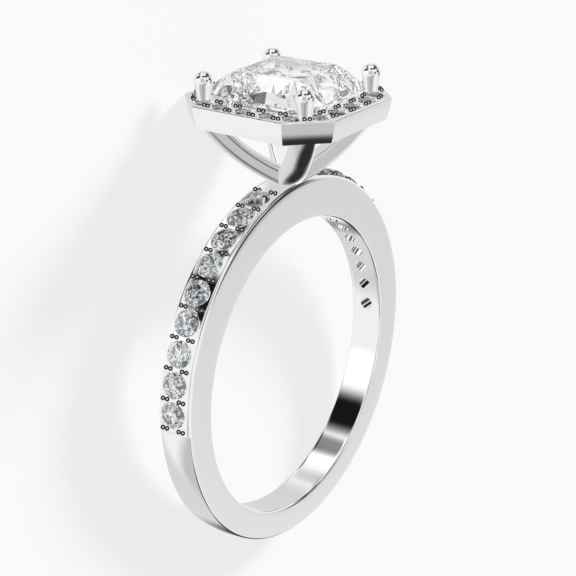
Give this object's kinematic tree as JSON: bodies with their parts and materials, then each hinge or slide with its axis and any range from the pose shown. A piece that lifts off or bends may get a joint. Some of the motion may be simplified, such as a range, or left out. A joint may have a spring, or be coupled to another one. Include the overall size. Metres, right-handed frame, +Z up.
{
  "type": "halo ring",
  "caption": "Finger ring lying on its side, with stones set in the shoulders and a raised head that holds a cut-cornered square stone inside an octagonal halo of small round stones.",
  "frame": {"origin": "middle of the box's bottom, on the surface that the ring lies on", "axes": "+X towards the head with the centre stone, +Y across the ring, +Z up; the ring lies on its side, and the finger's axis leans 8.4 degrees from +Z because the halo holds the head up"},
  "size_m": [0.0278, 0.022, 0.0096],
  "materials": {
    "white_gold": "mirror polished white gold",
    "diamond": "colourless, cut and polished"
  },
  "bodies": {
    "root": {"ring_body": "white_gold", "center_stone": "diamond", "shoulder_stone_left_1": "diamond", "shoulder_stone_left_2": "diamond", "shoulder_stone_left_3": "diamond", "shoulder_stone_left_4": "diamond", "shoulder_stone_left_5": "diamond", "shoulder_stone_left_6": "diamond", "shoulder_stone_left_7": "diamond", "shoulder_stone_left_8": "diamond", "shoulder_stone_left_9": "diamond", "shoulder_stone_right_1": "diamond", "shoulder_stone_right_2": "diamond", "shoulder_stone_right_3": "diamond", "shoulder_stone_right_4": "diamond", "shoulder_stone_right_5": "diamond", "shoulder_stone_right_6": "diamond", "shoulder_stone_right_7": "diamond", "shoulder_stone_right_8": "diamond", "shoulder_stone_right_9": "diamond", "halo_stone_1": "diamond", "halo_stone_2": "diamond", "halo_stone_3": "diamond", "halo_stone_4": "diamond", "halo_stone_5": "diamond", "halo_stone_6": "diamond", "halo_stone_7": "diamond", "halo_stone_8": "diamond", "halo_stone_9": "diamond", "halo_stone_10": "diamond", "halo_stone_11": "diamond", "halo_stone_12": "diamond", "halo_stone_13": "diamond", "halo_stone_14": "diamond", "halo_stone_15": "diamond", "halo_stone_16": "diamond", "halo_stone_17": "diamond", "halo_stone_18": "diamond", "halo_stone_19": "diamond", "halo_stone_20": "diamond"}
  },
  "joints": []
}
